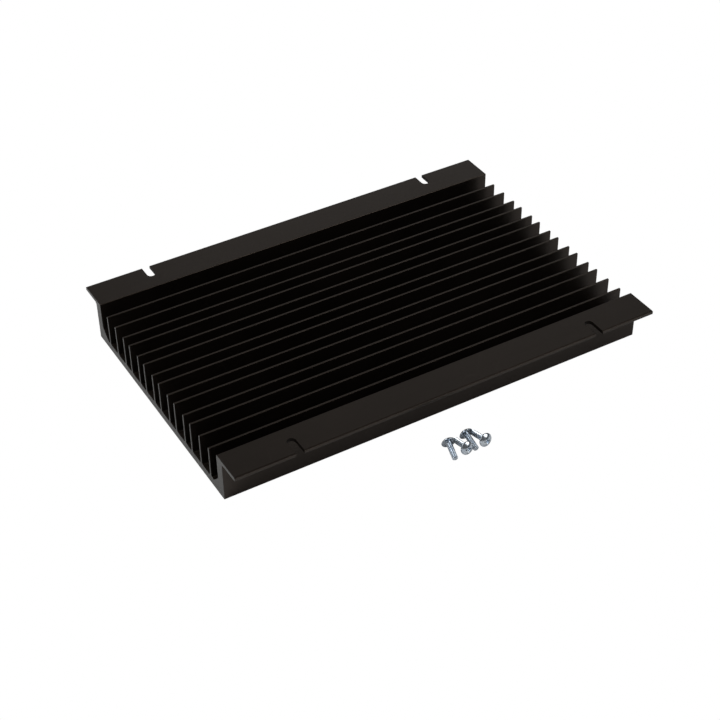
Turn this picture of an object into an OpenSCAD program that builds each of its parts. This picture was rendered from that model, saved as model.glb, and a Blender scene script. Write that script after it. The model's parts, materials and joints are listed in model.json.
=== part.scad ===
// Heat sink kit for a panel-mounted servo drive: one finned aluminium extrusion with two
// slotted flanges, and the four loose machine screws that fasten the drive to its base.
// X runs along the fins, Z points from the drive seat up to the flanges.

/* [Base] */
// Length of the cut extrusion, along the fins
length = 242; // [200:1:300]
// Width of the base over its side walls
base_w = 145.5; // [145.5:0.5:150]
// Thickness of the base under the channels
base_t = 4.2; // [3:0.1:5]

/* [Side walls and flanges] */
// Thickness of each side wall
wall_t = 5.4; // [4:0.1:5.8]
// Height from the drive seat to the flange faces
total_h = 24.4; // [23:0.1:28]
// Width over both flanges
flange_span = 172; // [168:1:180]
// Thickness of the flanges
flange_t = 2; // [1.6:0.1:3]
// Leg of the chamfer in each corner between wall and base
corner_leg = 5.3; // [2:0.1:6]
// Radius under each flange, where it meets the wall
flange_fillet_r = 1.5; // [0.5:0.1:3]

/* [Fins] */
// Number of fins on each side of the centre line
fins_per_side = 7; // [7:1:7]
// Pitch across a wide channel
pitch_wide = 10; // [9.6:0.1:10]
// Pitch across a narrow channel
pitch_narrow = 7.5; // [7:0.1:7.5]
// Height of the fin tips above the drive seat
fin_top_z = 21.9; // [18:0.1:22.5]
// Thickness of a fin at its tip
fin_tip_t = 1.1; // [0.8:0.05:1.3]
// Thickness of a fin at its root
fin_root_t = 1.3; // [1:0.05:1.6]
// Leg of the flare at each side of a fin's root
fin_flare = 0.6; // [0.2:0.1:1]

/* [Panel slots] */
// Width of the open slots in the flanges
slot_w = 4.5; // [4.2:0.1:5.5]
// Depth of the two slots in the +Y flange, from its edge
slot_depth_plus = 9.4; // [7:0.1:11]
// Depth of the two slots in the -Y flange, from its edge
slot_depth_minus = 10.9; // [7:0.1:11]
// Distance between slot centres along a flange
slot_spacing = 173; // [120:1:190]

/* [Drive screw holes] */
// Diameter of the clearance holes through the base
hole_d = 3.4; // [3.2:0.1:3.8]
// Distance between holes along the fins
hole_spacing_x = 200; // [120:1:220]
// Countersunk edge break on the seat side of each hole
hole_break = 0.3; // [0.1:0.1:0.4]

/* [Screws] */
// Outside diameter of the thread
thread_d = 2.98; // [2.9:0.02:3]
// Length of a screw under its head
screw_len = 10; // [8:1:10]
// Diameter of the head
head_d = 7.2; // [6.8:0.1:7.2]
// Height of the domed head
head_h = 2; // [1.6:0.1:2.2]
// Thickness of the straight rim below the dome
head_rim = 0.45; // [0.3:0.05:0.6]
// Width of the cross recess over its wings
recess_w = 3.6; // [3:0.1:4]
// Thickness of one wing of the recess
recess_wing = 0.7; // [0.5:0.05:0.9]
// Depth of the recess from the top of the dome
recess_depth = 1.3; // [0.8:0.1:1.4]
// Chamfer at the thread's tip
tip_chamfer = 0.4; // [0.2:0.1:0.6]

/* [Hidden] */
$fn = 64;
eps = 0.01;
overlap = 1;

wall_outer = base_w / 2;
wall_inner = wall_outer - wall_t;
flange_edge = flange_span / 2;
flange_under = total_h - flange_t;

// Fin centres on one side: half a narrow pitch from the centre line, then wide and narrow
// pitches in turn, with a wide one before the last fin
function is_wide(i) = i % 2 == 1 || i == fins_per_side - 1;
function fin_y(i) = i == 0
    ? pitch_narrow / 2
    : fin_y(i - 1) + (is_wide(i) ? pitch_wide : pitch_narrow);

// The screws stand in the middle of the outermost wide channel
hole_y = (fin_y(fins_per_side - 1) + fin_y(fins_per_side - 2)) / 2;

// A screw lies on its head's rim and its tip, which tilts its axis
dome_h = head_h - head_rim;
dome_r = (pow(head_d / 2, 2) + pow(dome_h, 2)) / (2 * dome_h);
tip_r = thread_d / 2 - tip_chamfer;
tilt = atan((head_d / 2 - thread_d / 2) / (screw_len - tip_chamfer));
rest_z = head_d / 2 * cos(tilt);

// Where the four screws lie: X and Y under the head, and the heading of the tip
SCREWS = [
    [-11.1, -97, -103],
    [-5.6, -104.6, 92],
    [-0.3, -96.2, -92.5],
    [5.3, -104.4, 95]
];

// Half of the cross-section's outline, from the middle of the seat round to the centre
// channel: up the wall, round the flange, down the corner chamfer and over the fins
function side_points() = [
    [wall_outer, 0],
    [wall_outer, flange_under],
    [flange_edge, flange_under],
    [flange_edge, total_h],
    [wall_inner, total_h],
    [wall_inner, base_t + corner_leg],
    [wall_inner - corner_leg, base_t]
];
function fin_points(y) = [
    [y + fin_root_t / 2 + fin_flare, base_t],
    [y + fin_root_t / 2, base_t + fin_flare],
    [y + fin_tip_t / 2, fin_top_z],
    [y - fin_tip_t / 2, fin_top_z],
    [y - fin_root_t / 2, base_t + fin_flare],
    [y - fin_root_t / 2 - fin_flare, base_t]
];
half_outline = concat(
    side_points(),
    [for (i = [fins_per_side - 1:-1:0]) each fin_points(fin_y(i))]
);
mirrored_half = [for (i = [len(half_outline) - 1:-1:0]) [-half_outline[i].x, half_outline[i].y]];

// Runs a cross-section, drawn in Y and Z, along the whole length
module along_length() {
    rotate([90, 0, 90]) translate([0, 0, -length / 2]) linear_extrude(length) children();
}

// Fillet under one flange, where it meets the wall
module flange_fillet() {
    difference() {
        translate([wall_outer - overlap, flange_under - flange_fillet_r])
            square(flange_fillet_r + overlap);
        translate([wall_outer + flange_fillet_r, flange_under - flange_fillet_r])
            circle(r = flange_fillet_r);
    }
}

// Cutter for one slot, round at its inner end and open at the flange edge
module slot_cutter(depth) {
    translate([0, flange_edge - depth + slot_w / 2, flange_under - 1]) {
        cylinder(d = slot_w, h = flange_t + 2);
        translate([-slot_w / 2, 0, 0]) cube([slot_w, depth, flange_t + 2]);
    }
}

// Cutter for one screw hole with a small edge break on the seat
module hole_cutter() {
    translate([0, 0, -1]) cylinder(d = hole_d, h = base_t + 2);
    translate([0, 0, -eps])
        cylinder(d1 = hole_d + 2 * hole_break, d2 = hole_d - eps, h = hole_break);
}

// The black anodised extrusion, sawn to length, slotted and drilled
module heat_sink() {
    color("#1c1917") difference() {
        union() {
            along_length() polygon(concat(half_outline, mirrored_half));
            along_length() flange_fillet();
            along_length() mirror([1, 0]) flange_fillet();
        }
        for (sx = [-1, 1], side = [0, 1]) mirror([0, side, 0]) {
            translate([sx * slot_spacing / 2, 0, 0])
                slot_cutter(side == 0 ? slot_depth_plus : slot_depth_minus);
            translate([sx * hole_spacing_x / 2, hole_y, 0]) hole_cutter();
        }
    }
}

// Outline of the head on one side of its axis, from the bearing face to the dome's top
module head_outline() {
    square([head_d / 2, head_rim]);
    intersection() {
        translate([0, head_h - dome_r]) circle(r = dome_r, $fn = 128);
        square([head_d / 2, head_h]);
    }
}

// One screw with its axis on Z, the bearing face of the head at Z = 0 and the tip below
module screw_body() {
    difference() {
        union() {
            rotate_extrude() head_outline();
            translate([0, 0, tip_chamfer - screw_len])
                cylinder(d = thread_d, h = screw_len - tip_chamfer + eps);
            translate([0, 0, -screw_len])
                cylinder(r1 = tip_r, r2 = thread_d / 2, h = tip_chamfer + eps);
        }
        for (turn = [0, 90]) rotate([0, 0, turn])
            translate([-recess_w / 2, -recess_wing / 2, head_h - recess_depth])
                cube([recess_w, recess_wing, head_h]);
    }
}

// A loose screw where it lies beside the extrusion, with its tip pointing along the heading
module loose_screw(place) {
    color("#b9c0ca")
        translate([place.x, place.y, rest_z])
            rotate([0, 0, place.z])
                rotate([0, tilt - 90, 0])
                    screw_body();
}

heat_sink();
loose_screw(SCREWS[0]);  // screw_1
loose_screw(SCREWS[1]);  // screw_2
loose_screw(SCREWS[2]);  // screw_3
loose_screw(SCREWS[3]);  // screw_4
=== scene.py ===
"""Looks of a heat sink kit for a servo drive: a black anodised extrusion and four loose screws.

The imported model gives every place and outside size. The classes below build the finished meshes
in metres, in the row frame: X runs along the fins and Z points from the drive seat up to the
flange faces.
"""

import json
import logging
import math
from dataclasses import dataclass, field
from enum import Enum, IntEnum
from typing import Callable, Sequence

import bmesh
import bpy
from mathutils import Matrix, Vector

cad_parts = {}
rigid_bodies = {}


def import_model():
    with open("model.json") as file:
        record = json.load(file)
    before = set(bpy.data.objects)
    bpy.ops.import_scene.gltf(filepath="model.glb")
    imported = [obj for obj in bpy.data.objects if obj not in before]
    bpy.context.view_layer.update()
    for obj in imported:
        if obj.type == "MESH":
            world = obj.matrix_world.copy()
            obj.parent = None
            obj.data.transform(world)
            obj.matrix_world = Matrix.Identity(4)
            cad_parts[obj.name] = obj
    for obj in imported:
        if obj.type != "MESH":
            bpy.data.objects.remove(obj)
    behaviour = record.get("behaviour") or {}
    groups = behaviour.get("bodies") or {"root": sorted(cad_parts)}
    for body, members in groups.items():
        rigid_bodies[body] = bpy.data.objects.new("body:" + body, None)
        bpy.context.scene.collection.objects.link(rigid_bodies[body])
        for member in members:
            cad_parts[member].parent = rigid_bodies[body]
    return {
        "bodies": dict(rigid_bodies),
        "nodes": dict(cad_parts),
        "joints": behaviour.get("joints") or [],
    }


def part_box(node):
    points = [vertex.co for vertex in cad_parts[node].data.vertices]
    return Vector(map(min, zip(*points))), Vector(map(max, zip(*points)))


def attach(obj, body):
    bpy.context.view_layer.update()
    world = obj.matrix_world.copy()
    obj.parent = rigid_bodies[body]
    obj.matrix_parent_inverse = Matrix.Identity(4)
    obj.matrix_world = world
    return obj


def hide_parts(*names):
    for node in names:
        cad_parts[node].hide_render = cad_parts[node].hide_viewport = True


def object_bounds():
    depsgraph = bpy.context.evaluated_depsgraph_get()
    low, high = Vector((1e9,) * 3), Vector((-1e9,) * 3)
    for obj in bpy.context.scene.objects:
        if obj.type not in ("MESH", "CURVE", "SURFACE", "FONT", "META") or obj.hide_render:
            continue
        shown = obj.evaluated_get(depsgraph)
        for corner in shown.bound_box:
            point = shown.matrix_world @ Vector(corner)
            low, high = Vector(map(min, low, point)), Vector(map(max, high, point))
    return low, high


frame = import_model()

LOG = logging.getLogger("heat_sink_kit")
CAD_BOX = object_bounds()
MM = 0.001
TURN = 2 * math.pi
# How near points are welded, in metres, and how much a large face outweighs a small one
WELD = 1e-7
FLAT_FACE_WEIGHT = 80

Point2 = tuple[float, float]
RGB = tuple[float, float, float]
Socket = bpy.types.NodeSocket
Tree = bpy.types.NodeTree


class Slot(Enum):
    """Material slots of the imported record."""

    BLACK_ANODISED = "black_anodised"
    ZINC_PLATED = "zinc_plated"


class Surface(IntEnum):
    """How a face of the extrusion was made, and for slot and hole faces the painted shade inside them,
    as its place in the list of materials.
    """

    DRAWN = 0
    SAWN = 1
    # Slot and hole faces: a darker, duller copy of the anodised finish, whose dark colour is painted
    # shade inside the slots and holes
    MACHINED = 2


# ---------------------------------------------------------------- node helpers


class Wiring:
    """Places shader nodes in one tree and joins them."""

    def __init__(self, tree: Tree) -> None:
        """Keeps the tree.

        Args:
            tree: the node tree of a material, a world or a group.
        """
        self.tree = tree

    def node(self, kind: str, **settings: object) -> bpy.types.Node:
        """Adds a node.

        Args:
            kind: the node's type.
            settings: properties to set on it.

        Returns:
            The new node.
        """
        made = self.tree.nodes.new(kind)
        for name, value in settings.items():
            setattr(made, name, value)
        return made

    def feed(self, value: object, socket: Socket) -> None:
        """Joins an output to a socket, or sets the socket to a plain value.

        Args:
            value: an output socket, a number, or a colour or vector as a tuple.
            socket: the input that takes it.
        """
        if isinstance(value, bpy.types.NodeSocket):
            self.tree.links.new(value, socket)
        elif isinstance(value, tuple) and len(value) == 3 and socket.type == "RGBA":
            socket.default_value = (*value, 1.0)
        else:
            socket.default_value = value

    def math(self, operation: str, *values: object) -> Socket:
        """Adds a Math node.

        Args:
            operation: its operation, such as MULTIPLY.
            values: what its inputs take, in order.

        Returns:
            The node's output.
        """
        made = self.node("ShaderNodeMath", operation=operation)
        for value, socket in zip(values, made.inputs):
            self.feed(value, socket)
        return made.outputs[0]

    def vector_math(self, operation: str, *values: object) -> Socket:
        """Adds a Vector Math node.

        Args:
            operation: its operation, such as MULTIPLY.
            values: what its inputs take, in order.

        Returns:
            The node's vector output.
        """
        made = self.node("ShaderNodeVectorMath", operation=operation)
        for value, socket in zip(values, made.inputs):
            self.feed(value, socket)
        return made.outputs["Vector"]

    def spread(self, value: object, low: float, high: float, to_low: float, to_high: float) -> Socket:
        """Maps a range of values to another and clamps the result.

        Args:
            value: the value to map.
            low: start of the range that it has.
            high: end of the range that it has.
            to_low: what the start becomes.
            to_high: what the end becomes.

        Returns:
            The mapped value.
        """
        made = self.node("ShaderNodeMapRange", clamp=True)
        for item, socket in zip((value, low, high, to_low, to_high), made.inputs):
            self.feed(item, socket)
        return made.outputs["Result"]

    def blend(self, share: object, first: object, second: object) -> Socket:
        """Mixes two colours.

        Args:
            share: 0 for the first colour, 1 for the second.
            first: the first colour.
            second: the second colour.

        Returns:
            The mixed colour.
        """
        made = self.node("ShaderNodeMix", data_type="RGBA")
        colours = {socket.name: socket for socket in made.inputs if socket.type == "RGBA"}
        self.feed(share, made.inputs["Factor"])
        self.feed(first, colours["A"])
        self.feed(second, colours["B"])
        return next(socket for socket in made.outputs if socket.type == "RGBA")

    def noise(self, vector: object, scale: object, detail: float = 2.0, rough: float = 0.5) -> Socket:
        """Adds a Noise texture.

        Args:
            vector: the coordinates that it reads.
            scale: its scale.
            detail: its octaves.
            rough: weight of the finer octaves.

        Returns:
            Its value, about 0.5 on average.
        """
        made = self.node("ShaderNodeTexNoise")
        self.feed(vector, made.inputs["Vector"])
        self.feed(scale, made.inputs["Scale"])
        self.feed(detail, made.inputs["Detail"])
        self.feed(rough, made.inputs["Roughness"])
        return made.outputs[0]


class EffectGroup:
    """A shader node group with named inputs and outputs, built once and placed where it is wanted."""

    def __init__(
        self,
        name: str,
        inputs: Sequence[tuple[str, str, object]],
        outputs: Sequence[tuple[str, str]],
        build: Callable[[Wiring, dict[str, Socket]], dict[str, Socket]],
    ) -> None:
        """Makes the group.

        Args:
            name: the group's name.
            inputs: each input's name, socket type and default value.
            outputs: each output's name and socket type.
            build: makes the nodes from the inputs and returns the outputs, both by name.
        """
        self.tree = bpy.data.node_groups.new(name, "ShaderNodeTree")
        for label, kind, default in inputs:
            socket = self.tree.interface.new_socket(name=label, in_out="INPUT", socket_type=kind)
            if default is not None:
                socket.default_value = default
        for label, kind in outputs:
            self.tree.interface.new_socket(name=label, in_out="OUTPUT", socket_type=kind)
        wiring = Wiring(self.tree)
        entry = wiring.node("NodeGroupInput")
        leave = wiring.node("NodeGroupOutput")
        made = build(wiring, {socket.name: socket for socket in entry.outputs if socket.name})
        for label, socket in made.items():
            wiring.feed(socket, leave.inputs[label])

    def place(self, wiring: Wiring, **values: object) -> dict[str, Socket]:
        """Places the group in a material.

        Args:
            wiring: the material's wiring.
            values: what its inputs take, by name with _ for a space.

        Returns:
            The outputs by name.
        """
        made = wiring.node("ShaderNodeGroup", node_tree=self.tree)
        for label, value in values.items():
            wiring.feed(value, made.inputs[label.replace("_", " ")])
        return {socket.name: socket for socket in made.outputs}


VECTOR, FLOAT, COLOUR = "NodeSocketVector", "NodeSocketFloat", "NodeSocketColor"


class Effects:
    """The effects that the finishes share, as node groups."""

    def __init__(self) -> None:
        """Builds every group once."""
        self.drawn_lines = EffectGroup(
            "drawn_lines",
            [("Vector", VECTOR, None), ("Across", FLOAT, 2500.0), ("Along", FLOAT, 6.0)],
            [("Fine", FLOAT), ("Broad", FLOAT)],
            self._drawn_lines,
        )
        self.fine_grain = EffectGroup(
            "fine_grain",
            [("Vector", VECTOR, None), ("Grains", FLOAT, 4000.0)],
            [("Height", FLOAT), ("Glint", FLOAT)],
            self._fine_grain,
        )
        self.tone_drift = EffectGroup(
            "tone_drift",
            [
                ("Vector", VECTOR, None),
                ("Patches", FLOAT, 20.0),
                ("First Colour", COLOUR, (0.02, 0.02, 0.02, 1.0)),
                ("Second Colour", COLOUR, (0.03, 0.03, 0.03, 1.0)),
            ],
            [("Colour", COLOUR), ("Mask", FLOAT)],
            self._tone_drift,
        )
        self.handling_marks = EffectGroup(
            "handling_marks",
            [("Vector", VECTOR, None), ("Marks", FLOAT, 60.0), ("Width", FLOAT, 0.02)],
            [("Mask", FLOAT)],
            self._handling_marks,
        )

    @staticmethod
    def _drawn_lines(wiring: Wiring, given: dict[str, Socket]) -> dict[str, Socket]:
        """Lines that a die leaves along X.

        Args:
            wiring: the group's wiring.
            given: the group's inputs.

        Returns:
            The group's outputs.
        """
        stretch = wiring.node("ShaderNodeCombineXYZ")
        for axis, name in zip("XYZ", ("Along", "Across", "Across")):
            wiring.feed(given[name], stretch.inputs[axis])
        drawn = wiring.vector_math("MULTIPLY", given["Vector"], stretch.outputs[0])
        fine = wiring.noise(drawn, 1.0, detail=4.0, rough=0.75)
        broad = wiring.noise(drawn, 0.16, detail=2.0, rough=0.6)
        return {
            "Fine": wiring.spread(fine, 0.3, 0.7, 0.0, 1.0),
            "Broad": wiring.spread(broad, 0.35, 0.65, 0.0, 1.0),
        }

    @staticmethod
    def _fine_grain(wiring: Wiring, given: dict[str, Socket]) -> dict[str, Socket]:
        """The even grain of an etched or plated surface.

        Args:
            wiring: the group's wiring.
            given: the group's inputs.

        Returns:
            The group's outputs.
        """
        soft = wiring.noise(given["Vector"], given["Grains"], detail=3.0, rough=0.6)
        cells = wiring.node("ShaderNodeTexVoronoi", feature="F1")
        wiring.feed(given["Vector"], cells.inputs["Vector"])
        wiring.feed(given["Grains"], cells.inputs["Scale"])
        glint = wiring.spread(cells.outputs["Distance"], 0.0, 0.55, 1.0, 0.0)
        return {"Height": soft, "Glint": glint}

    @staticmethod
    def _tone_drift(wiring: Wiring, given: dict[str, Socket]) -> dict[str, Socket]:
        """Slow drift between two tones of one finish.

        Args:
            wiring: the group's wiring.
            given: the group's inputs.

        Returns:
            The group's outputs.
        """
        clouds = wiring.noise(given["Vector"], given["Patches"], detail=3.0, rough=0.55)
        mask = wiring.spread(clouds, 0.34, 0.66, 0.0, 1.0)
        colour = wiring.blend(mask, given["First Colour"], given["Second Colour"])
        return {"Colour": colour, "Mask": mask}

    @staticmethod
    def _handling_marks(wiring: Wiring, given: dict[str, Socket]) -> dict[str, Socket]:
        """Sparse hairline rubs from handling.

        Args:
            wiring: the group's wiring.
            given: the group's inputs.

        Returns:
            The group's outputs.
        """
        sway = wiring.noise(given["Vector"], wiring.math("MULTIPLY", given["Marks"], 0.6))
        slide = wiring.math("DIVIDE", sway, given["Marks"])
        bent = wiring.vector_math("ADD", given["Vector"], slide)
        cells = wiring.node("ShaderNodeTexVoronoi", feature="DISTANCE_TO_EDGE")
        wiring.feed(bent, cells.inputs["Vector"])
        wiring.feed(given["Marks"], cells.inputs["Scale"])
        hair = wiring.math("LESS_THAN", cells.outputs["Distance"], given["Width"])
        clouds = wiring.noise(given["Vector"], given["Marks"], detail=1.0)
        where = wiring.spread(clouds, 0.56, 0.64, 0.0, 1.0)
        return {"Mask": wiring.math("MULTIPLY", hair, where)}


# -------------------------------------------------------------------- finishes


def new_material(name: str) -> tuple[bpy.types.Material, Wiring, bpy.types.Node, Socket]:
    """Makes a material with an empty Principled shader.

    Args:
        name: the material's name.

    Returns:
        The material, its wiring, the shader and the object coordinates.
    """
    made = bpy.data.materials.new(name)
    made.use_nodes = True
    wiring = Wiring(made.node_tree)
    shader = made.node_tree.nodes["Principled BSDF"]
    place = wiring.node("ShaderNodeTexCoord").outputs["Object"]
    return made, wiring, shader, place


def relief(wiring: Wiring, shader: bpy.types.Node, height: Socket, depth: float) -> None:
    """Raises a surface by a Bump node.

    Args:
        wiring: the material's wiring.
        shader: the shader whose normal it gives.
        height: a height from 0 to 1.
        depth: how high 1 stands, in metres.
    """
    bump = wiring.node("ShaderNodeBump")
    bump.inputs["Strength"].default_value = 1.0
    bump.inputs["Distance"].default_value = depth
    wiring.feed(height, bump.inputs["Height"])
    wiring.feed(bump.outputs["Normal"], shader.inputs["Normal"])


@dataclass(frozen=True)
class AnodisedFinish:
    """Black anodised aluminium as the die leaves it: satin, with fine lines along X."""

    name: str = "black_anodised_drawn"
    dark: RGB = (0.0026, 0.0019, 0.0014)
    light: RGB = (0.0050, 0.0037, 0.0029)
    rubbed: RGB = (0.022, 0.018, 0.015)
    patches: float = 26.0
    roughness: float = 0.29
    roughness_swing: float = 0.08
    specular: float = 0.50
    specular_tint: RGB = (1.0, 0.80, 0.66)
    lines_across: float = 2600.0
    lines_along: float = 5.0
    lines_tint: float = 0.35
    marks: float = 70.0
    mark_width: float = 0.012
    mark_tint: float = 0.2
    grains: float = 5200.0
    grain_height: float = 0.6
    depth: float = 0.010 * MM

    def material(self, effects: Effects) -> bpy.types.Material:
        """Builds the material.

        Args:
            effects: the shared effects.

        Returns:
            The material.
        """
        made, wiring, shader, place = new_material(self.name)
        tone = effects.tone_drift.place(
            wiring, Vector=place, Patches=self.patches, First_Colour=self.dark, Second_Colour=self.light
        )
        lines = effects.drawn_lines.place(
            wiring, Vector=place, Across=self.lines_across, Along=self.lines_along
        )
        grain = effects.fine_grain.place(wiring, Vector=place, Grains=self.grains)
        rubs = effects.handling_marks.place(
            wiring, Vector=place, Marks=self.marks, Width=self.mark_width
        )
        lit = wiring.math("MULTIPLY", lines["Broad"], self.lines_tint)
        streaked = wiring.blend(lit, tone["Colour"], self.light)
        worn = wiring.math("MULTIPLY", rubs["Mask"], self.mark_tint)
        colour = wiring.blend(worn, streaked, self.rubbed)
        wiring.feed(colour, shader.inputs["Base Color"])
        swing = wiring.math("MULTIPLY_ADD", lines["Fine"], self.roughness_swing, self.roughness)
        rough = wiring.math("MULTIPLY_ADD", tone["Mask"], self.roughness_swing * 0.5, swing)
        wiring.feed(rough, shader.inputs["Roughness"])
        shader.inputs["Specular IOR Level"].default_value = self.specular
        shader.inputs["Specular Tint"].default_value = (*self.specular_tint, 1.0)
        height = wiring.math("MULTIPLY_ADD", grain["Height"], self.grain_height, lines["Fine"])
        relief(wiring, shader, height, self.depth)
        return made


@dataclass(frozen=True)
class SawnFinish:
    """Anodised aluminium on the sawn ends: rougher and paler, with the blade's curved marks."""

    name: str = "black_anodised_sawn"
    dark: RGB = (0.019, 0.018, 0.016)
    light: RGB = (0.035, 0.033, 0.030)
    patches: float = 90.0
    roughness: float = 0.34
    roughness_swing: float = 0.12
    specular: float = 0.5
    blade_radius: float = 0.15
    blade_side: float = 0.04
    blade_wobbles: float = 260.0
    tooth_marks: float = 1500.0
    tooth_tint: float = 0.45
    grains: float = 6000.0
    grain_height: float = 0.8
    depth: float = 0.016 * MM

    def material(self, effects: Effects) -> bpy.types.Material:
        """Builds the material.

        Args:
            effects: the shared effects.

        Returns:
            The material.
        """
        made, wiring, shader, place = new_material(self.name)
        tone = effects.tone_drift.place(
            wiring, Vector=place, Patches=self.patches, First_Colour=self.dark, Second_Colour=self.light
        )
        grain = effects.fine_grain.place(wiring, Vector=place, Grains=self.grains)
        axle = wiring.vector_math("SUBTRACT", place, (0.0, self.blade_side, -self.blade_radius))
        flat = wiring.vector_math("MULTIPLY", axle, (0.0, 1.0, 1.0))
        reach = wiring.node("ShaderNodeVectorMath", operation="LENGTH")
        wiring.feed(flat, reach.inputs[0])
        wobble = wiring.noise(place, self.blade_wobbles)
        phase = wiring.math("MULTIPLY_ADD", reach.outputs["Value"], self.tooth_marks * TURN, wobble)
        marks = wiring.spread(wiring.math("SINE", phase), -1.0, 1.0, 0.0, 1.0)
        lit = wiring.math("MULTIPLY", marks, self.tooth_tint)
        wiring.feed(wiring.blend(lit, tone["Colour"], self.light), shader.inputs["Base Color"])
        rough = wiring.math("MULTIPLY_ADD", grain["Glint"], self.roughness_swing, self.roughness)
        wiring.feed(rough, shader.inputs["Roughness"])
        shader.inputs["Specular IOR Level"].default_value = self.specular
        height = wiring.math("MULTIPLY_ADD", grain["Height"], self.grain_height, marks)
        relief(wiring, shader, height, self.depth)
        return made


@dataclass(frozen=True)
class ZincFinish:
    """Bright zinc plating with a thin blue passivation."""

    name: str = "zinc_blue_passivated"
    blue: RGB = (0.54, 0.61, 0.70)
    straw: RGB = (0.64, 0.69, 0.73)
    rubbed: RGB = (0.78, 0.79, 0.80)
    patches: float = 420.0
    roughness: float = 0.17
    roughness_swing: float = 0.14
    marks: float = 900.0
    mark_width: float = 0.02
    mark_tint: float = 0.6
    grains: float = 16000.0
    depth: float = 0.004 * MM

    def material(self, effects: Effects) -> bpy.types.Material:
        """Builds the material.

        Args:
            effects: the shared effects.

        Returns:
            The material.
        """
        made, wiring, shader, place = new_material(self.name)
        tone = effects.tone_drift.place(
            wiring, Vector=place, Patches=self.patches, First_Colour=self.blue, Second_Colour=self.straw
        )
        grain = effects.fine_grain.place(wiring, Vector=place, Grains=self.grains)
        rubs = effects.handling_marks.place(
            wiring, Vector=place, Marks=self.marks, Width=self.mark_width
        )
        worn = wiring.math("MULTIPLY", rubs["Mask"], self.mark_tint)
        colour = wiring.blend(worn, tone["Colour"], self.rubbed)
        wiring.feed(colour, shader.inputs["Base Color"])
        shader.inputs["Metallic"].default_value = 1.0
        rough = wiring.math("MULTIPLY_ADD", grain["Glint"], self.roughness_swing, self.roughness)
        wiring.feed(rough, shader.inputs["Roughness"])
        relief(wiring, shader, grain["Height"], self.depth)
        return made


# ------------------------------------------------------------------- mesh work


def rounded(corners: Sequence[tuple[float, float, float]], steps: int = 4) -> list[Point2]:
    """Rounds the corners of a closed outline.

    Args:
        corners: each corner's two coordinates and its radius.
        steps: segments in each round.

    Returns:
        The outline's points in the same order.
    """
    points: list[Point2] = []
    for index, (y, z, radius) in enumerate(corners):
        here = Vector((y, z))
        before = (Vector(corners[index - 1][:2]) - here).normalized()
        after = (Vector(corners[(index + 1) % len(corners)][:2]) - here).normalized()
        half = before.angle(after) / 2
        middle = here + (before + after).normalized() * (radius / math.sin(half))
        start = here + before * (radius / math.tan(half)) - middle
        sweep = start.angle_signed(here + after * (radius / math.tan(half)) - middle)
        for step in range(steps + 1):
            turn = Matrix.Rotation(-sweep * step / steps, 2)
            points.append(tuple(middle + turn @ start))
    return points


def arc(radius: float, start: float, sweep: float, steps: int) -> list[Point2]:
    """Draws an arc about the origin.

    Args:
        radius: its radius.
        start: the angle at which it starts.
        sweep: the angle that it covers.
        steps: its segments.

    Returns:
        The points, with both ends.
    """
    angles = [start + sweep * step / steps for step in range(steps + 1)]
    return [(radius * math.cos(angle), radius * math.sin(angle)) for angle in angles]


def inset(points: Sequence[Point2], amount: float) -> list[Point2]:
    """Draws a closed anticlockwise outline inwards.

    Args:
        points: the outline.
        amount: how far each side moves in.

    Returns:
        The smaller outline, with as many points.
    """
    moved: list[Point2] = []
    for index, point in enumerate(points):
        here = Vector(point)
        into = (here - Vector(points[index - 1])).normalized()
        away = (Vector(points[(index + 1) % len(points)]) - here).normalized()
        normal = (Vector((-into.y, into.x)) + Vector((-away.y, away.x))).normalized()
        share = max(0.5, normal.dot(Vector((-into.y, into.x))))
        moved.append(tuple(here + normal * (amount / share)))
    return moved


def loft(rings: Sequence[Sequence[Vector]]) -> bmesh.types.BMesh:
    """Skins rings of points that all have the same number of points, and closes both ends.

    Args:
        rings: the rings in order, each anticlockwise seen from the last ring's side.

    Returns:
        The mesh.
    """
    mesh = bmesh.new()
    rows = [[mesh.verts.new(point) for point in ring] for ring in rings]
    for low, high in zip(rows, rows[1:]):
        for index in range(len(low)):
            after = (index + 1) % len(low)
            mesh.faces.new((low[index], low[after], high[after], high[index]))
    mesh.faces.new(list(reversed(rows[0])))
    mesh.faces.new(rows[-1])
    return mesh


def make_object(
    name: str, mesh: bmesh.types.BMesh, materials: Sequence[bpy.types.Material]
) -> bpy.types.Object:
    """Turns a mesh into an object in the scene.

    Args:
        name: the object's name.
        mesh: the mesh, which is freed.
        materials: its materials in order.

    Returns:
        The object.
    """
    data = bpy.data.meshes.new(name)
    mesh.to_mesh(data)
    mesh.free()
    for material in materials:
        data.materials.append(material)
    made = bpy.data.objects.new(name, data)
    bpy.context.scene.collection.objects.link(made)
    return made


def settle(piece: bpy.types.Object) -> None:
    """Works a piece's modifiers into its mesh.

    Args:
        piece: the piece.
    """
    bpy.context.view_layer.update()
    graph = bpy.context.evaluated_depsgraph_get()
    shown = piece.evaluated_get(graph)
    result = bpy.data.meshes.new_from_object(shown, preserve_all_data_layers=True, depsgraph=graph)
    old, name = piece.data, piece.data.name
    piece.modifiers.clear()
    piece.data = result
    bpy.data.meshes.remove(old)
    result.name = name


def carve(target: bpy.types.Object, cutter: bpy.types.Object) -> None:
    """Cuts one object out of another and removes the cutter.

    Args:
        target: the object that keeps the rest.
        cutter: the object that is taken away.
    """
    cut = target.modifiers.new("cut", "BOOLEAN")
    cut.operation = "DIFFERENCE"
    cut.solver = "EXACT"
    cut.object = cutter
    settle(target)
    bpy.data.objects.remove(cutter)


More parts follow.
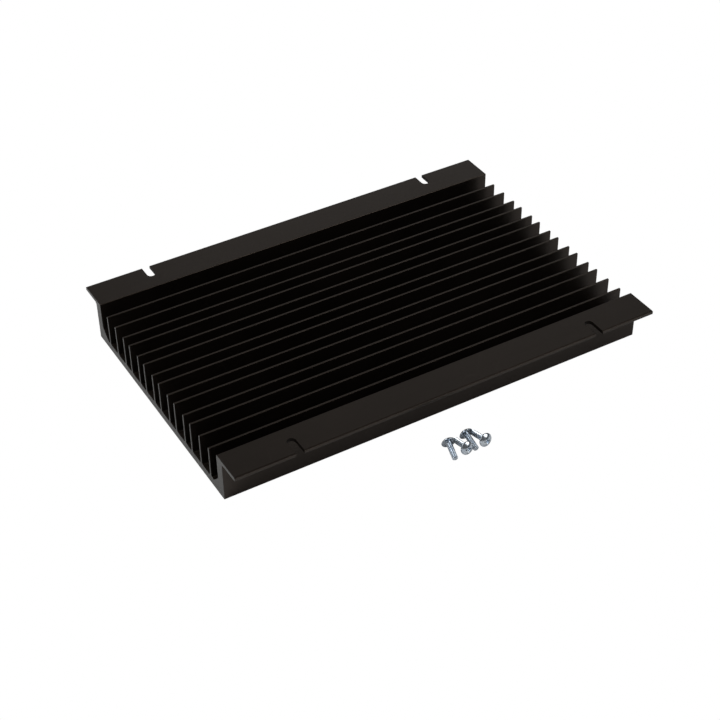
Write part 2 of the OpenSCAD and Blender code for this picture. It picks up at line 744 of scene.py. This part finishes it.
def tidy_shading(piece: bpy.types.Object, sharp_deg: float) -> None:
    """Welds what lies together and shades a piece smooth, with its large faces kept flat.

    Args:
        piece: the piece.
        sharp_deg: the angle above which an edge stays sharp.
    """
    mesh = bmesh.new()
    mesh.from_mesh(piece.data)
    bmesh.ops.remove_doubles(mesh, verts=mesh.verts, dist=WELD)
    bmesh.ops.dissolve_degenerate(mesh, edges=mesh.edges, dist=WELD)
    bmesh.ops.recalc_face_normals(mesh, faces=mesh.faces)
    mesh.to_mesh(piece.data)
    mesh.free()
    piece.data.shade_smooth()
    piece.data.set_sharp_from_angle(angle=math.radians(sharp_deg))
    weighted = piece.modifiers.new("weighted_normals", "WEIGHTED_NORMAL")
    weighted.mode = "FACE_AREA"
    weighted.weight = FLAT_FACE_WEIGHT
    weighted.keep_sharp = True
    settle(piece)


# --------------------------------------------------------------- the extrusion


@dataclass
class FinnedExtrusion:
    """The extrusion: flat base, two walls with outward flanges, and fins at two pitches.

    The upper face of each flange rolls off at its outer edge, by edge_run across and edge_drop
    down. A corner_leg chamfer joins each wall to the base, softened where it meets either.
    """

    effects: Effects
    base_width: float = 145.5 * MM
    base_thickness: float = 4.2 * MM
    wall_thickness: float = 5.4 * MM
    flange_thickness: float = 2.0 * MM
    flange_round: float = 0.4 * MM
    flange_fillet: float = 1.5 * MM
    edge_run: float = 0.8 * MM
    edge_drop: float = 0.30 * MM
    edge_round: float = 0.15 * MM
    edge_top_round: float = 0.3 * MM
    seat_round: float = 0.3 * MM
    corner_leg: float = 5.3 * MM
    corner_wall_round: float = 4.0 * MM
    corner_base_round: float = 2.2 * MM
    fins_per_side: int = 7
    pitch_wide: float = 10.0 * MM
    pitch_narrow: float = 7.5 * MM
    fin_top: float = 21.9 * MM
    fin_tip: float = 1.1 * MM
    fin_root: float = 1.3 * MM
    fin_tip_round: float = 0.14 * MM
    fin_root_round: float = 1.2 * MM
    end_break: float = 0.12 * MM
    slot_width: float = 4.5 * MM
    slot_depth_plus: float = 9.4 * MM
    slot_depth_minus: float = 10.9 * MM
    slot_spacing: float = 173.0 * MM
    hole_width: float = 3.4 * MM
    hole_spacing: float = 200.0 * MM
    edge_break: float = 0.08 * MM
    worn_edge: float = 0.10 * MM
    worn_edge_steps: int = 4
    cutter_past: float = 1.0 * MM
    sharp_deg: float = 32.0
    half_length: float = field(init=False)
    half_span: float = field(init=False)
    height: float = field(init=False)

    def __post_init__(self) -> None:
        """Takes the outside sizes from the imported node."""
        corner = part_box("heat_sink")[1]
        self.half_length, self.half_span, self.height = corner.x, corner.y, corner.z

    def fin_places(self) -> list[float]:
        """Distance of each fin on one side from the centre line, nearest first.

        Returns:
            The distances.
        """
        places = [self.pitch_narrow / 2]
        for index in range(1, self.fins_per_side):
            wide = index % 2 == 1 or index == self.fins_per_side - 1
            places.append(places[-1] + (self.pitch_wide if wide else self.pitch_narrow))
        return places

    def outline(self) -> list[Point2]:
        """The cross-section in Y and Z, anticlockwise, with every edge rounded.

        Returns:
            The outline's points.
        """
        wall_out = self.base_width / 2
        wall_in = wall_out - self.wall_thickness
        under = self.height - self.flange_thickness
        floor = self.base_thickness
        half = [
            (wall_out, 0.0, self.seat_round),
            (wall_out, under, self.flange_fillet),
            (self.half_span, under, self.flange_round),
            (self.half_span, self.height - self.edge_drop, self.edge_round),
            (self.half_span - self.edge_run, self.height, self.edge_top_round),
            (wall_in, self.height, self.flange_round),
            (wall_in, floor + self.corner_leg, self.corner_wall_round),
            (wall_in - self.corner_leg, floor, self.corner_base_round),
        ]
        for y in reversed(self.fin_places()):
            half += [
                (y + self.fin_root / 2, floor, self.fin_root_round),
                (y + self.fin_tip / 2, self.fin_top, self.fin_tip_round),
                (y - self.fin_tip / 2, self.fin_top, self.fin_tip_round),
                (y - self.fin_root / 2, floor, self.fin_root_round),
            ]
        other = [(-y, z, radius) for y, z, radius in reversed(half)]
        return rounded(half + other)

    def bar(self) -> bmesh.types.BMesh:
        """The cross-section run along X, with a small break round both sawn ends.

        The break has to stay smaller than every round of the outline, or the ends fold over.

        Returns:
            The mesh, with the ends marked as sawn.
        """
        full = self.outline()
        small = inset(full, self.end_break)
        stations = [
            (-self.half_length, small),
            (self.end_break - self.half_length, full),
            (self.half_length - self.end_break, full),
            (self.half_length, small),
        ]
        rings = [[Vector((x, y, z)) for y, z in ring] for x, ring in stations]
        mesh = loft(rings)
        for face in mesh.faces:
            middle = face.calc_center_median()
            at_end = abs(middle.x) > self.half_length - self.end_break
            face.material_index = Surface.SAWN if at_end else Surface.DRAWN
        return mesh

    def slot_outline(self, grow: float, steps: int = 16) -> list[Point2]:
        """Outline of a slot in X and Y about its slot centre, with the open end towards +Y.

        Args:
            grow: how much wider than the slot it is on each side.
            steps: segments in the round end.

        Returns:
            The outline's points, anticlockwise.
        """
        radius = self.slot_width / 2 + grow
        past = 2 * max(self.slot_depth_plus, self.slot_depth_minus)
        return [*arc(radius, math.pi, math.pi, steps), (radius, past), (-radius, past)]

    def round_outline(self, grow: float, steps: int = 32) -> list[Point2]:
        """Outline of a screw hole in X and Y.

        Args:
            grow: how much wider than the hole it is on each side.
            steps: segments in the circle.

        Returns:
            The outline's points, anticlockwise.
        """
        return arc(self.hole_width / 2 + grow, 0.0, TURN, steps)[:-1]

    def broken_cutter(
        self, shape: Callable[[float], list[Point2]], low: float, high: float, place: Vector, flip: bool
    ) -> bmesh.types.BMesh:
        """A cutter that also rounds the upper edge and breaks the lower one where it leaves the metal.

        Args:
            shape: gives the outline for how much it grows.
            low: height of the metal's lower face.
            high: height of its upper face.
            place: where the cutter stands in X and Y.
            flip: whether the shape points towards -Y.

        Returns:
            The cutter's mesh.
        """
        under, over, past = self.edge_break, self.worn_edge, self.cutter_past
        levels = [(low - past, under + past), (low + under, 0.0)]
        for out, up in arc(over, 0.0, math.pi / 2, self.worn_edge_steps):
            levels.append((high - over + up, over - out))
        levels.append((high + past, over + past))
        side = -1.0 if flip else 1.0
        rings = []
        for level, grow in levels:
            ring = [Vector((place.x + side * x, place.y + side * y, level)) for x, y in shape(grow)]
            rings.append(ring)
        mesh = loft(rings)
        # Slot and hole faces take the copy whose darker colour is painted shade
        for face in mesh.faces:
            face.material_index = Surface.MACHINED
        return mesh

    def cutters(self) -> bmesh.types.BMesh:
        """The four slots and four screw holes as one mesh of separate cutters.

        Returns:
            The mesh.
        """
        hole_y = sum(self.fin_places()[-2:]) / 2
        under = self.height - self.flange_thickness
        together = bmesh.new()
        for side_x in (-1, 1):
            for side_y in (-1, 1):
                depth = self.slot_depth_plus if side_y > 0 else self.slot_depth_minus
                slot_y = self.half_span - depth + self.slot_width / 2
                slot_place = Vector((side_x * self.slot_spacing / 2, side_y * slot_y, 0))
                hole_place = Vector((side_x * self.hole_spacing / 2, side_y * hole_y, 0))
                flip = side_y < 0
                parts = (
                    self.broken_cutter(self.slot_outline, under, self.height, slot_place, flip),
                    self.broken_cutter(self.round_outline, 0.0, self.base_thickness, hole_place, flip),
                )
                for part in parts:
                    spare = bpy.data.meshes.new("cutter_part")
                    part.to_mesh(spare)
                    part.free()
                    together.from_mesh(spare)
                    bpy.data.meshes.remove(spare)
        return together

    def build(self) -> bpy.types.Object:
        """Builds the extrusion and puts it on its body.

        Returns:
            The finished piece.
        """
        finishes = [
            AnodisedFinish().material(self.effects),
            SawnFinish().material(self.effects),
            # Darker, less glossy copy for slot and hole faces: its dark colour is painted shade
            # standing in for the shade inside them
            AnodisedFinish(
                name="black_anodised_machined",
                dark=(0.0012, 0.0009, 0.0007),
                light=(0.0024, 0.0018, 0.0014),
                lines_across=900.0,
                roughness=0.45,
                specular=0.12,
            ).material(self.effects),
        ]
        piece = make_object("finned_extrusion", self.bar(), finishes)
        carve(piece, make_object("slot_and_hole_cutters", self.cutters(), finishes))
        tidy_shading(piece, self.sharp_deg)
        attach(piece, "heat_sink")
        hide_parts("heat_sink")
        return piece


# ------------------------------------------------------------------ the screws


@dataclass
class LooseScrew:
    """A machine screw with a wide domed head, a cross recess and a rolled thread to the head.

    A flank of the thread is an even ramp made flank_slope times as steep and held back by
    crest_flat, which leaves a flat crest and a flat root. In the recess, recess_core is a share
    of the wing's half width and recess_corner is a share of the core.
    """

    node: str
    finish: bpy.types.Material
    thread_start: float = 0.0
    around: int = 48
    head_radius: float = 3.6 * MM
    head_height: float = 2.0 * MM
    dome_rings: int = 14
    rim_height: float = 0.45 * MM
    rim_round: float = 0.12 * MM
    length: float = 10.0 * MM
    neck_radius: float = 1.36 * MM
    neck_land: float = 0.15 * MM
    crest_radius: float = 1.49 * MM
    root_radius: float = 1.2 * MM
    pitch: float = 0.5 * MM
    rings_per_pitch: int = 8
    flank_slope: float = 1.35
    crest_flat: float = 0.16
    run_out_start: float = 0.25 * MM
    run_out_length: float = 0.6 * MM
    tip_chamfer: float = 0.4 * MM
    tip_slope: float = 1.1
    tip_flat: float = 0.5 * MM
    recess_radius: float = 1.85 * MM
    recess_wing: float = 0.36 * MM
    recess_depth: float = 1.45 * MM
    recess_core: float = 1.75
    recess_corner: float = 0.82
    sharp_deg: float = 40.0

    def placement(self) -> Matrix:
        """Where the screw lies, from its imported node: Z along its axis towards the head.

        Returns:
            The matrix from the screw's own coordinates, with the bearing face at 0, to the row frame.
        """
        joint = next(j for j in frame["joints"] if j["child"] == self.node)
        axis = Vector(joint["axis"]).normalized()
        side = axis.cross(Vector((0, 0, 1))).normalized()
        up = side.cross(axis)
        points = [vertex.co for vertex in frame["nodes"][self.node].data.vertices]

        def middle(direction: Vector) -> float:
            """Middle of the node along a direction."""
            reach = [point.dot(direction) for point in points]
            return (min(reach) + max(reach)) / 2

        top = max(point.dot(axis) for point in points)
        origin = side * middle(side) + up * middle(up) + axis * (top - self.head_height)
        turn = Matrix((up, -side, axis)).transposed().to_4x4()
        return Matrix.Translation(origin) @ turn

    def head_profile(self) -> list[Point2]:
        """Radius and height of the head's rings, from the dome's top to the bearing face.

        Returns:
            The rings.
        """
        dome = self.head_height - self.rim_height
        sphere = (self.head_radius**2 + dome**2) / (2 * dome)
        edge = math.asin(self.head_radius / sphere)
        rings: list[Point2] = []
        for step in range(1, self.dome_rings):
            angle = edge * step / self.dome_rings
            drop = sphere * (1 - math.cos(angle))
            rings.append((sphere * math.sin(angle), self.head_height - drop))
        # The middle of a round stands 0.3 of its radius in from the corner
        soft = self.rim_round
        nick = 0.3 * soft
        rings += [
            (self.head_radius - nick, self.rim_height + nick),
            (self.head_radius, self.rim_height - soft / 2),
            (self.head_radius, soft),
            (self.head_radius - nick, nick),
            (self.head_radius - soft, 0.0),
            ((self.head_radius + self.crest_radius) / 2, 0.0),
            (self.crest_radius + self.neck_land, 0.0),
        ]
        return rings

    def thread_radius(self, z: float, turn: float) -> float:
        """Radius of the thread, which runs out into a plain neck and a chamfered tip.

        Args:
            z: height, negative below the head.
            turn: share of a turn round the axis.

        Returns:
            The radius there.
        """
        phase = (-z / self.pitch + turn + self.thread_start) % 1.0
        ramp = min(1.0, max(0.0, abs(phase - 0.5) * 2 * self.flank_slope - self.crest_flat))
        radius = self.root_radius + (self.crest_radius - self.root_radius) * (1.0 - ramp)
        run_out = min(1.0, max(0.0, (-z - self.run_out_start) / self.run_out_length))
        radius = self.neck_radius + (radius - self.neck_radius) * run_out
        tip = self.crest_radius - self.tip_chamfer + (z + self.length) * self.tip_slope
        return min(radius, max(tip, 0.0))

    def body(self) -> bmesh.types.BMesh:
        """The whole screw without its recess, as one closed skin.

        Returns:
            The mesh in the screw's own coordinates.
        """

        def ring(radius_at: Callable[[float], float], z: float) -> list[Vector]:
            """One ring round the axis."""
            made = []
            for index in range(self.around):
                share = index / self.around
                angle = TURN * share
                radius = radius_at(share)
                made.append(Vector((radius * math.cos(angle), radius * math.sin(angle), z)))
            return made

        rings = [ring(lambda share, r=radius: r, z) for radius, z in self.head_profile()]
        rows = round(self.length / self.pitch * self.rings_per_pitch)
        for row in range(1, rows + 1):
            z = -self.length * row / rows
            rings.append(ring(lambda share, z=z: self.thread_radius(z, share), z))
        rings.append(ring(lambda share: self.tip_flat, -self.length))
        return loft([list(reversed(points)) for points in rings])

    def recess(self) -> bmesh.types.BMesh:
        """Cutter for the cross recess: tapered wings that meet round a cone.

        Returns:
            The mesh in the screw's own coordinates.
        """

        def cross(reach: float, wing: float) -> list[Point2]:
            """Outline of a cross with rounded inner corners, anticlockwise."""
            core = wing * self.recess_core
            corner = core * self.recess_corner
            arm = [(reach, -wing), (reach, wing), (core, wing), (corner, corner), (wing, core)]
            points: list[Point2] = []
            for quarter in range(4):
                angle = quarter * math.pi / 2
                c, s = math.cos(angle), math.sin(angle)
                points += [(x * c - y * s, x * s + y * c) for x, y in arm]
            return points

        bottom = self.head_height - self.recess_depth
        # Each level's height and its shares of the recess's reach and wing, from the bottom up
        levels = [
            (bottom, 0.3, 0.5),
            (bottom + 0.35 * MM, 0.52, 0.8),
            (self.head_height - 0.25 * MM, 0.95, 1.0),
            (self.head_height + 0.5 * MM, 1.12, 1.12),
        ]
        rings = []
        for z, reach, wing in levels:
            outline = cross(self.recess_radius * reach, self.recess_wing * wing)
            rings.append([Vector((x, y, z)) for x, y in outline])
        return loft(rings)

    def build(self) -> bpy.types.Object:
        """Builds the screw and puts it on its body.

        Returns:
            The finished piece.
        """
        piece = make_object(f"domed_{self.node}", self.body(), [self.finish])
        carve(piece, make_object("recess_cutter", self.recess(), [self.finish]))
        piece.data.transform(self.placement())
        tidy_shading(piece, self.sharp_deg)
        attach(piece, self.node)
        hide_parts(self.node)
        return piece


# ------------------------------------------------------------------ the studio


@dataclass(frozen=True)
class Softbox:
    """One soft rectangular light."""

    name: str
    place: tuple[float, float, float]
    width: float
    depth: float
    power: float

    def build(self, aim: Vector) -> None:
        """Hangs the light.

        Args:
            aim: the point that it faces.
        """
        lamp = bpy.data.lights.new(self.name, "AREA")
        lamp.shape = "RECTANGLE"
        lamp.size = self.width
        lamp.size_y = self.depth
        lamp.energy = self.power
        made = bpy.data.objects.new(self.name, lamp)
        made.location = self.place
        made.rotation_mode = "QUATERNION"
        made.rotation_quaternion = (aim - Vector(self.place)).to_track_quat("-Z", "Y")
        bpy.context.scene.collection.objects.link(made)


@dataclass(frozen=True)
class Studio:
    """A pale table in a soft white room."""

    floor_size: float = 12.0
    floor_gap: float = 0.02 * MM
    floor_tone: float = 0.80
    floor_roughness: float = 0.9
    room_tone: float = 0.12
    softboxes: tuple[Softbox, ...] = (
        Softbox("left_softbox", (-1.5, 0.4, 0.45), 0.8, 0.6, 7.0),
        Softbox("high_left_softbox", (-0.8, 0.5, 1.1), 0.9, 0.9, 10.5),
        Softbox("back_softbox", (0.90, 1.44, 1.06), 1.2, 0.8, 1.04),
        Softbox("front_right_softbox", (0.76, -0.88, 1.09), 0.9, 0.9, 8.4),
    )

    def pale_shader(self, wiring: Wiring, output: bpy.types.Node, plain: Socket) -> None:
        """Shows a surface as clean white to the eye while it lights the object as it is.

        Args:
            wiring: the material's or world's wiring.
            output: its output node.
            plain: the shader that lights the object.
        """
        seen = wiring.node("ShaderNodeLightPath").outputs["Is Camera Ray"]
        on_surface = output.type == "OUTPUT_MATERIAL"
        white = wiring.node("ShaderNodeEmission" if on_surface else "ShaderNodeBackground")
        white.inputs["Color"].default_value = (1.0, 1.0, 1.0, 1.0)
        white.inputs["Strength"].default_value = 1.0
        mixed = wiring.node("ShaderNodeMixShader")
        wiring.feed(seen, mixed.inputs[0])
        wiring.feed(plain, mixed.inputs[1])
        wiring.feed(white.outputs[0], mixed.inputs[2])
        wiring.feed(mixed.outputs[0], output.inputs["Surface"])

    def build_floor(self) -> None:
        """Lays the table under the object."""
        made = bpy.data.materials.new("pale_table")
        made.use_nodes = True
        wiring = Wiring(made.node_tree)
        shader = made.node_tree.nodes["Principled BSDF"]
        shader.inputs["Base Color"].default_value = (self.floor_tone,) * 3 + (1.0,)
        shader.inputs["Roughness"].default_value = self.floor_roughness
        self.pale_shader(wiring, made.node_tree.nodes["Material Output"], shader.outputs[0])
        half = self.floor_size / 2
        level = CAD_BOX[0].z - self.floor_gap
        mesh = bmesh.new()
        corners = [(-half, -half), (half, -half), (half, half), (-half, half)]
        mesh.faces.new([mesh.verts.new((x, y, level)) for x, y in corners])
        make_object("table_top", mesh, [made])

    def build_room(self) -> None:
        """Fills the room with even light."""
        world = bpy.data.worlds.new("white_room")
        world.use_nodes = True
        bpy.context.scene.world = world
        wiring = Wiring(world.node_tree)
        room = world.node_tree.nodes["Background"]
        room.inputs["Color"].default_value = (1.0, 1.0, 1.0, 1.0)
        room.inputs["Strength"].default_value = self.room_tone
        self.pale_shader(wiring, world.node_tree.nodes["World Output"], room.outputs[0])

    def build(self) -> None:
        """Builds floor, room and lights, and keeps colours as they are."""
        self.build_floor()
        self.build_room()
        for softbox in self.softboxes:
            softbox.build(Vector((0, 0, 0)))
        bpy.context.scene.view_settings.view_transform = "Standard"


@dataclass(frozen=True)
class ProductCamera:
    """A long lens that looks down over the near flange."""

    azimuth_deg: float = -30.169
    elevation_deg: float = 39.108
    roll_deg: float = -0.686
    reach: float = 0.8311
    aim: tuple[float, float, float] = (-0.01332, -0.01603, 0.0)
    lens_mm: float = 79.725
    sensor_mm: float = 36.0
    near_clip: float = 0.01

    def build(self) -> bpy.types.Object:
        """Sets the camera up as the scene's own.

        Returns:
            The camera.
        """
        lens = bpy.data.cameras.new("product_camera")
        lens.lens = self.lens_mm
        lens.sensor_width = self.sensor_mm
        lens.clip_start = self.near_clip
        made = bpy.data.objects.new("product_camera", lens)
        turn, rise = math.radians(self.azimuth_deg), math.radians(self.elevation_deg)
        flat = math.cos(rise)
        back = Vector((math.sin(turn) * flat, -math.cos(turn) * flat, math.sin(rise)))
        level = (-back).to_track_quat("-Z", "Y").to_matrix()
        roll = Matrix.Rotation(math.radians(self.roll_deg), 3, back)
        stand = Matrix.Translation(Vector(self.aim) + back * self.reach)
        made.matrix_world = stand @ (roll @ level).to_4x4()
        bpy.context.scene.collection.objects.link(made)
        bpy.context.scene.camera = made
        return made


def main() -> None:
    """Builds the camera, the studio, the extrusion and the screws in order."""
    logging.basicConfig(level=logging.INFO, format="%(name)s: %(message)s")
    ProductCamera().build()
    Studio().build()
    effects = Effects()
    extrusion = FinnedExtrusion(effects).build()
    LOG.info("%s: %d faces", extrusion.name, len(extrusion.data.polygons))
    zinc = ZincFinish().material(effects)
    screws = sorted(body for body in frame["bodies"] if body.startswith("screw_"))
    for index, node in enumerate(screws):
        screw = LooseScrew(node, zinc, thread_start=index / len(screws)).build()
        LOG.info("%s: %d faces", screw.name, len(screw.data.polygons))


if __name__ == "__main__":
    main()
